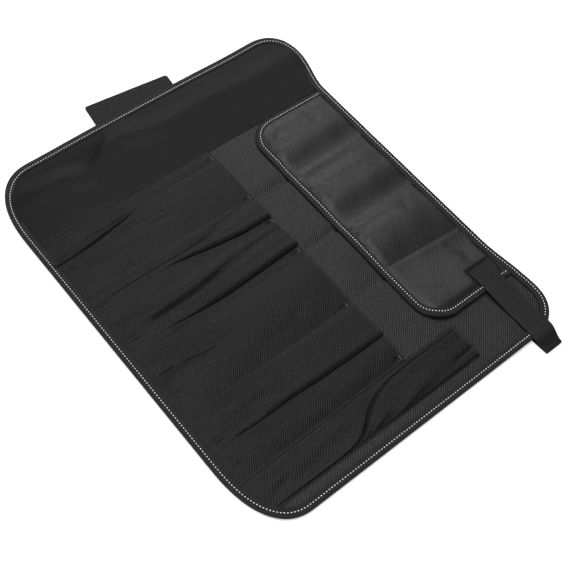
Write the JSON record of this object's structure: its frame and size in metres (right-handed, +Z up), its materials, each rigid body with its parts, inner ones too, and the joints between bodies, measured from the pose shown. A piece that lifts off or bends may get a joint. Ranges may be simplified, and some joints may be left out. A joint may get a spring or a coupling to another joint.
{
  "type": "tool roll",
  "caption": "Tool roll of dark waxed cloth, open and flat: pleated tool pockets, a tall side pocket, a bound flap over the tool ends, a webbing strap and a closure tab.",
  "frame": {"origin": "middle of the main panel's underside, on the surface that the open roll lies on", "axes": "+X from the blank end with the closure tab to the strap's end, +Y from the pocket bottoms to the flap's seam, +Z up out of the inner face"},
  "size_m": [0.6061, 0.4525, 0.0145],
  "materials": {
    "lining_cloth": "textured weave, matt",
    "pocket_cloth": "smooth dense weave, low sheen",
    "facing_cloth": "coated, soft sheen",
    "flap_satin": "satin sheen",
    "binding_tape": "fine ribbed tape, matt, white running stitch",
    "webbing": "cross-ribbed webbing, matt",
    "hook_and_loop": "looped pile, matt",
    "thread": "twisted white thread"
  },
  "bodies": {
    "root": {"main_panel": "lining_cloth", "edge_binding": "binding_tape", "wrap_facing": "facing_cloth", "pocket_bank": "pocket_cloth", "long_pocket": "pocket_cloth", "flap": "flap_satin", "flap_binding": "binding_tape", "strap": "webbing", "closure_tab": "hook_and_loop"}
  },
  "joints": []
}
